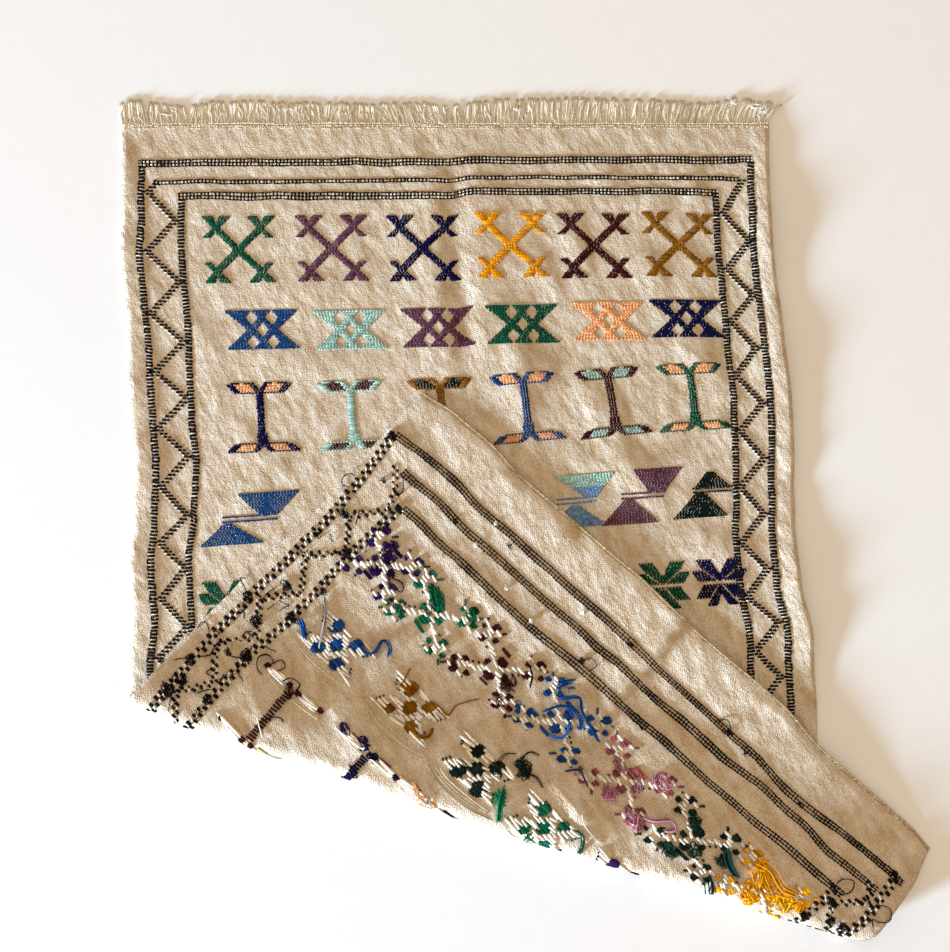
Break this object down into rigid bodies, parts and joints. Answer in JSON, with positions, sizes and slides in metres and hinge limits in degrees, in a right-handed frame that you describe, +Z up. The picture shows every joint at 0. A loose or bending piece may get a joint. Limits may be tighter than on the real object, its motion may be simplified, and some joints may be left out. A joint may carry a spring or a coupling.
{
  "type": "folded flat-weave kilim rug",
  "caption": "Flat-woven wool kilim rug with a fringed end, lying on the floor with its other end folded up and over along a slanting crease.",
  "frame": {"origin": "middle of the footprint, on the floor that the kilim lies on", "axes": "+Z up; +Y from the folded end towards the fringe; +X along the fringed end, to the right of a person who stands at the folded end"},
  "size_m": [1.225, 1.277, 0.035],
  "materials": {
    "handspun_wool_weave": "matt",
    "warp_yarn": "matt"
  },
  "bodies": {
    "root": {"kilim_cloth": "handspun_wool_weave", "warp_fringe": "warp_yarn"}
  },
  "joints": []
}
